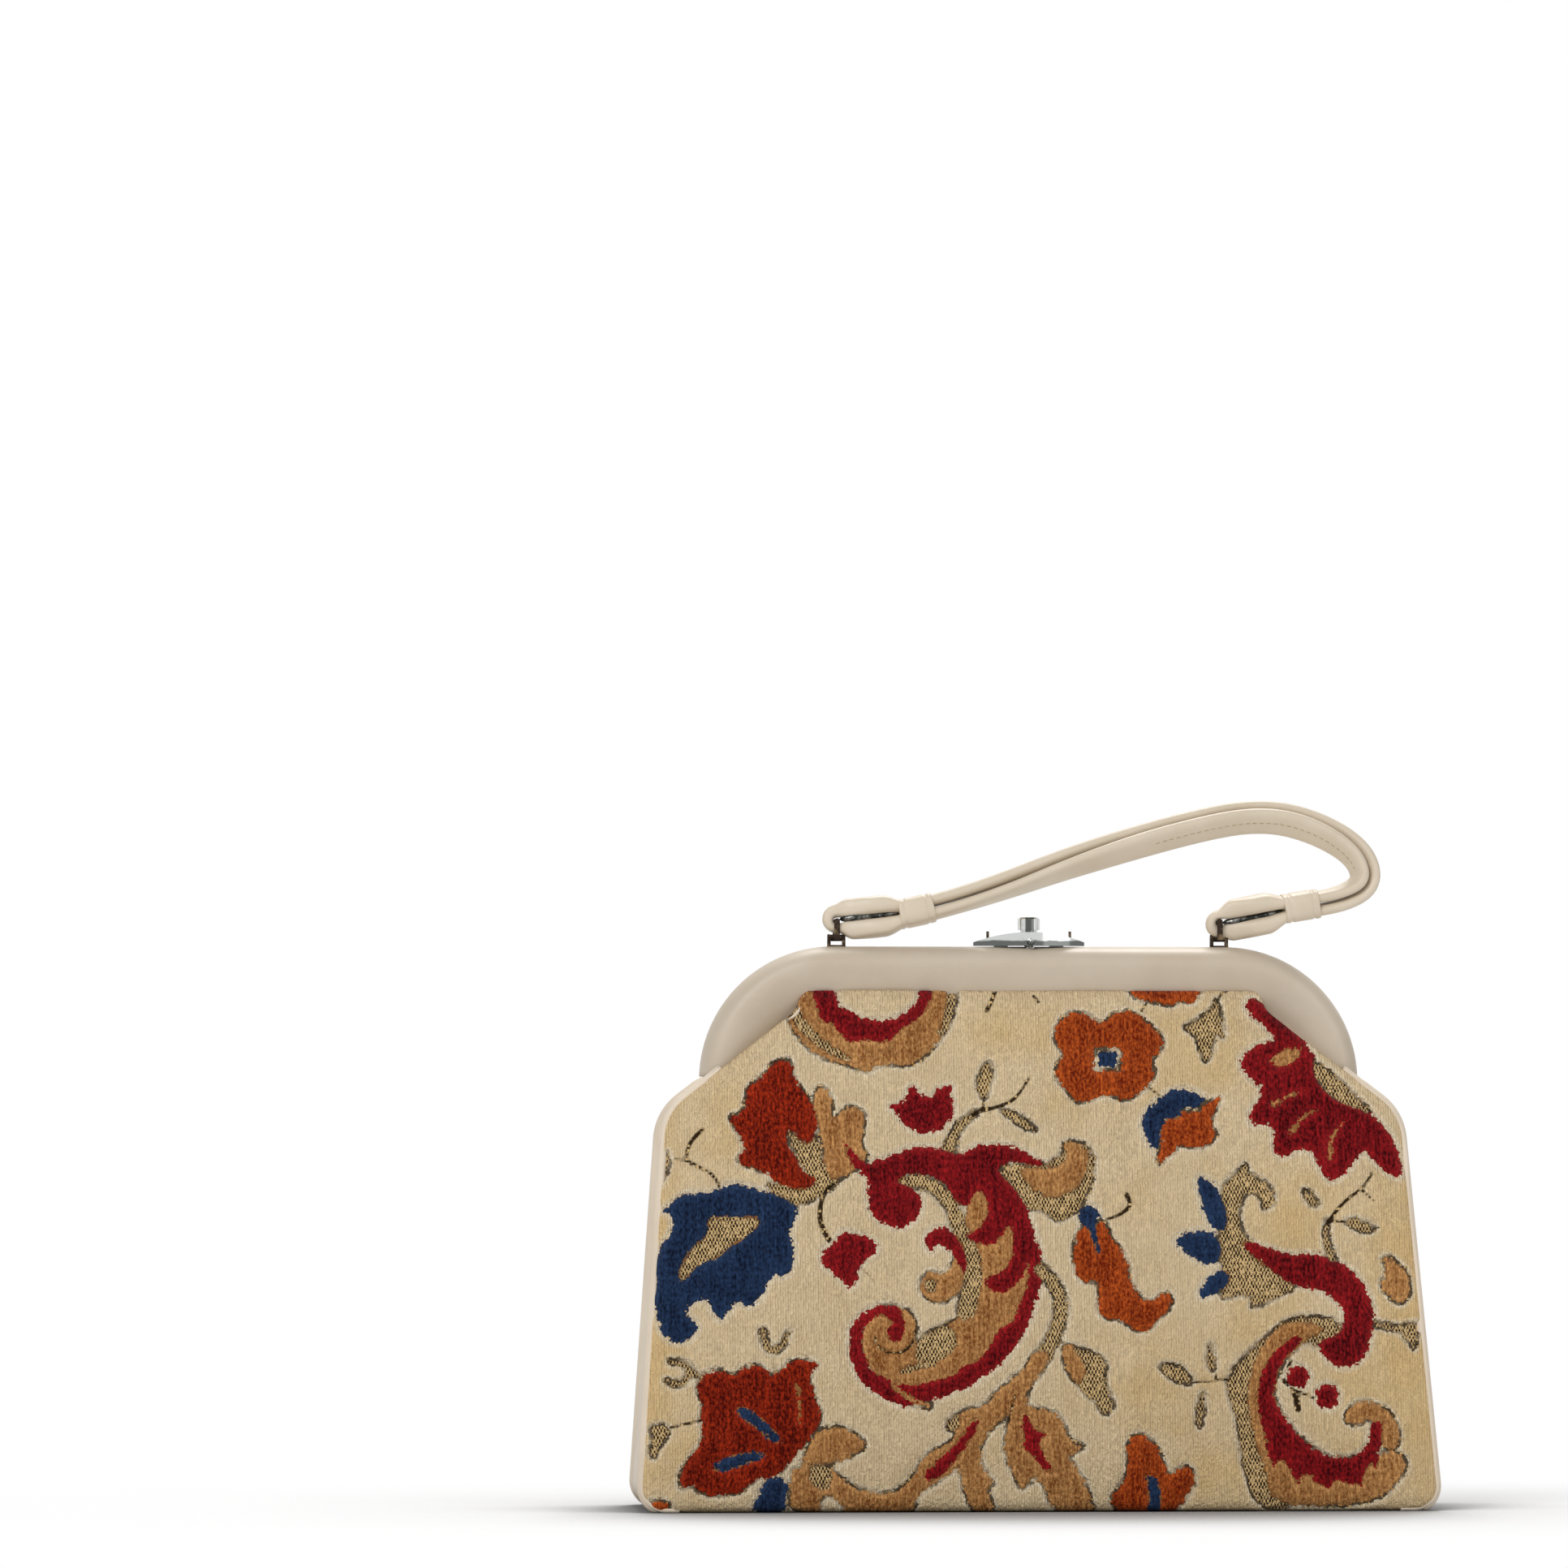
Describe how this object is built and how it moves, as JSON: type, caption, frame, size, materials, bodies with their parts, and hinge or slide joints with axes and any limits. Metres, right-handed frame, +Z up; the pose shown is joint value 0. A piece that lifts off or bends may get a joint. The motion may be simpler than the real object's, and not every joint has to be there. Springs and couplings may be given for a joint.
{
  "type": "carpet bag",
  "caption": "Trapezoid carpet handbag with raised floral pile, leather gussets, a hinged leather-covered frame, a turn clasp on top and a leather strap handle.",
  "frame": {"origin": "middle of the base, on the surface that the bag stands on", "axes": "+X to the right as seen from the front, -Y the front with the clasp's bead, +Z up"},
  "size_m": [0.2836, 0.0816, 0.2514],
  "materials": {
    "carpet_ground": "cream cut pile carpet, golden where it is brushed",
    "pile_crimson": "deep crimson cut pile",
    "pile_orange": "rust to orange cut pile",
    "pile_navy": "navy cut pile",
    "pile_tan": "tan cut pile with dark brown outlines",
    "cream_leather": "smooth cream leather, fine grain",
    "lining_cloth": "plain woven lining",
    "board": "grey-brown board",
    "frame_steel": "plain sheet steel",
    "tarnished_metal": "tarnished plated steel",
    "clasp_chrome": "bright plating"
  },
  "bodies": {
    "bag": {"back_panel": "carpet_ground", "back_pile_crimson": "pile_crimson", "back_pile_navy": "pile_navy", "back_pile_orange": "pile_orange", "back_pile_tan": "pile_tan", "base_board": "board", "base_panel": "carpet_ground", "clasp_bead": "clasp_chrome", "clasp_pins": "tarnished_metal", "clasp_plate": "clasp_chrome", "fold_pile_crimson": "pile_crimson", "fold_pile_navy": "pile_navy", "fold_pile_orange": "pile_orange", "fold_pile_tan": "pile_tan", "front_fold": "carpet_ground", "front_panel": "carpet_ground", "gusset_fold_left": "cream_leather", "gusset_fold_right": "cream_leather", "gusset_left": "cream_leather", "gusset_right": "cream_leather", "handle_lugs": "tarnished_metal", "hinge_rivets": "tarnished_metal", "lining": "lining_cloth", "lug_pins": "tarnished_metal", "pile_crimson": "pile_crimson", "pile_navy": "pile_navy", "pile_orange": "pile_orange", "pile_tan": "pile_tan", "rear_frame_cover": "cream_leather", "rear_frame_steel": "frame_steel"},
    "front_frame": {"front_frame_cover": "cream_leather", "front_frame_steel": "frame_steel", "mouth_panel": "carpet_ground", "mouth_pile_crimson": "pile_crimson", "mouth_pile_orange": "pile_orange", "mouth_pile_tan": "pile_tan"},
    "handle": {"handle_strap": "cream_leather", "keeper_left": "cream_leather", "keeper_right": "cream_leather", "link_left": "clasp_chrome", "link_right": "clasp_chrome"},
    "clasp_knob": {"clasp_knob": "clasp_chrome", "clasp_cam": "frame_steel"}
  },
  "joints": [
    {"name": "frame_hinge", "type": "hinge", "parent": "bag", "child": "front_frame", "pos_m": [0, 0, 0.152], "axis": [1, 0, 0], "range_deg": [0, 60], "deforming": ["front_fold", "gusset_fold_left", "gusset_fold_right", "fold_pile_crimson", "fold_pile_navy", "fold_pile_orange", "fold_pile_tan"]},
    {"name": "handle_swing", "type": "hinge", "parent": "bag", "child": "handle", "pos_m": [0, 0.0028, 0.20365], "axis": [1, 0, 0], "range_deg": [-40, 40]},
    {"name": "clasp_turn", "type": "hinge", "parent": "bag", "child": "clasp_knob", "pos_m": [0, 0, 0.205], "axis": [0, 0, 1], "range_deg": [0, 90]}
  ]
}
